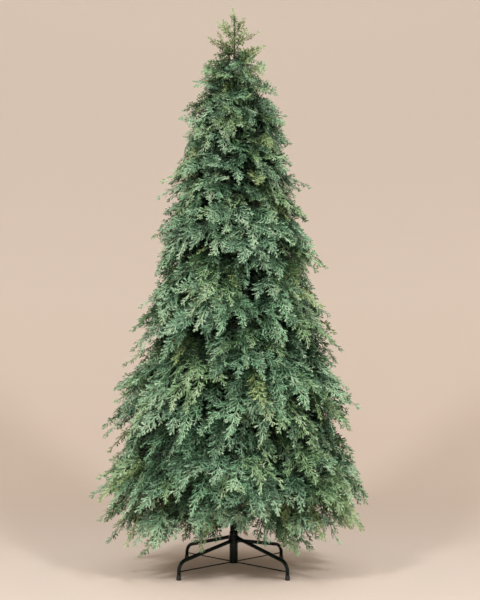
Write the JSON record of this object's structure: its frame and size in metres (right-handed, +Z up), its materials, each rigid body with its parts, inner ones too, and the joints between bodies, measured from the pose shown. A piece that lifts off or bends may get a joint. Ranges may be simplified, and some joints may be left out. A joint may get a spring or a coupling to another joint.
{
  "type": "artificial cypress tree on a stand",
  "caption": "Artificial cypress tree: a conical crown of drooping lacy sprays in tiers round a steel pole, on a low folding steel stand with rubber feet.",
  "frame": {"origin": "on the floor under the pole's axis", "axes": "+Z up along the pole, -Y to the front as the picture shows it, +X to the viewer's right"},
  "size_m": [0.9322, 0.9102, 2.1],
  "materials": {
    "foliage": "matte moulded sprays",
    "wrapped_wire": "tape-wrapped wire",
    "green_steel": "dark green powder coat, semi-gloss",
    "black_rubber": "matte black"
  },
  "bodies": {
    "root": {"trunk_pole": "green_steel", "stand_socket": "green_steel", "stand_collar_lower": "green_steel", "stand_collar_upper": "green_steel", "stand_leg_front_left": "green_steel", "stand_leg_front_right": "green_steel", "stand_leg_back_right": "green_steel", "stand_leg_back_left": "green_steel", "stand_foot_front_left": "black_rubber", "stand_foot_front_right": "black_rubber", "stand_foot_back_right": "black_rubber", "stand_foot_back_left": "black_rubber", "stand_brace_front_left": "green_steel", "stand_brace_front_right": "green_steel", "stand_brace_back_right": "green_steel", "stand_brace_back_left": "green_steel", "bough_1": "wrapped_wire", "bough_2": "wrapped_wire", "bough_3": "wrapped_wire", "bough_4": "wrapped_wire", "bough_5": "wrapped_wire", "bough_6": "wrapped_wire", "bough_7": "wrapped_wire", "foliage_tier_1_mass_1": "foliage", "foliage_tier_1_mass_2": "foliage", "foliage_tier_1_mass_3": "foliage", "foliage_tier_1_mass_4": "foliage", "foliage_tier_1_mass_5": "foliage", "foliage_tier_1_mass_6": "foliage", "foliage_tier_1_mass_7": "foliage", "foliage_tier_2_mass_1": "foliage", "foliage_tier_2_mass_2": "foliage", "foliage_tier_2_mass_3": "foliage", "foliage_tier_2_mass_4": "foliage", "foliage_tier_2_mass_5": "foliage", "foliage_tier_2_mass_6": "foliage", "foliage_tier_2_mass_7": "foliage", "foliage_tier_3_mass_1": "foliage", "foliage_tier_3_mass_2": "foliage", "foliage_tier_3_mass_3": "foliage", "foliage_tier_3_mass_4": "foliage", "foliage_tier_3_mass_5": "foliage", "foliage_tier_3_mass_6": "foliage", "foliage_tier_4_mass_1": "foliage", "foliage_tier_4_mass_2": "foliage", "foliage_tier_4_mass_3": "foliage", "foliage_tier_4_mass_4": "foliage", "foliage_tier_4_mass_5": "foliage", "foliage_tier_5_mass_1": "foliage", "foliage_tier_5_mass_2": "foliage", "foliage_tier_5_mass_3": "foliage", "foliage_tier_5_mass_4": "foliage", "foliage_tier_6_mass_1": "foliage", "foliage_tier_6_mass_2": "foliage", "foliage_tier_6_mass_3": "foliage", "foliage_tier_6_mass_4": "foliage", "foliage_tier_7_mass_1": "foliage", "foliage_tier_7_mass_2": "foliage", "foliage_tier_7_mass_3": "foliage", "foliage_leader": "foliage"}
  },
  "joints": []
}
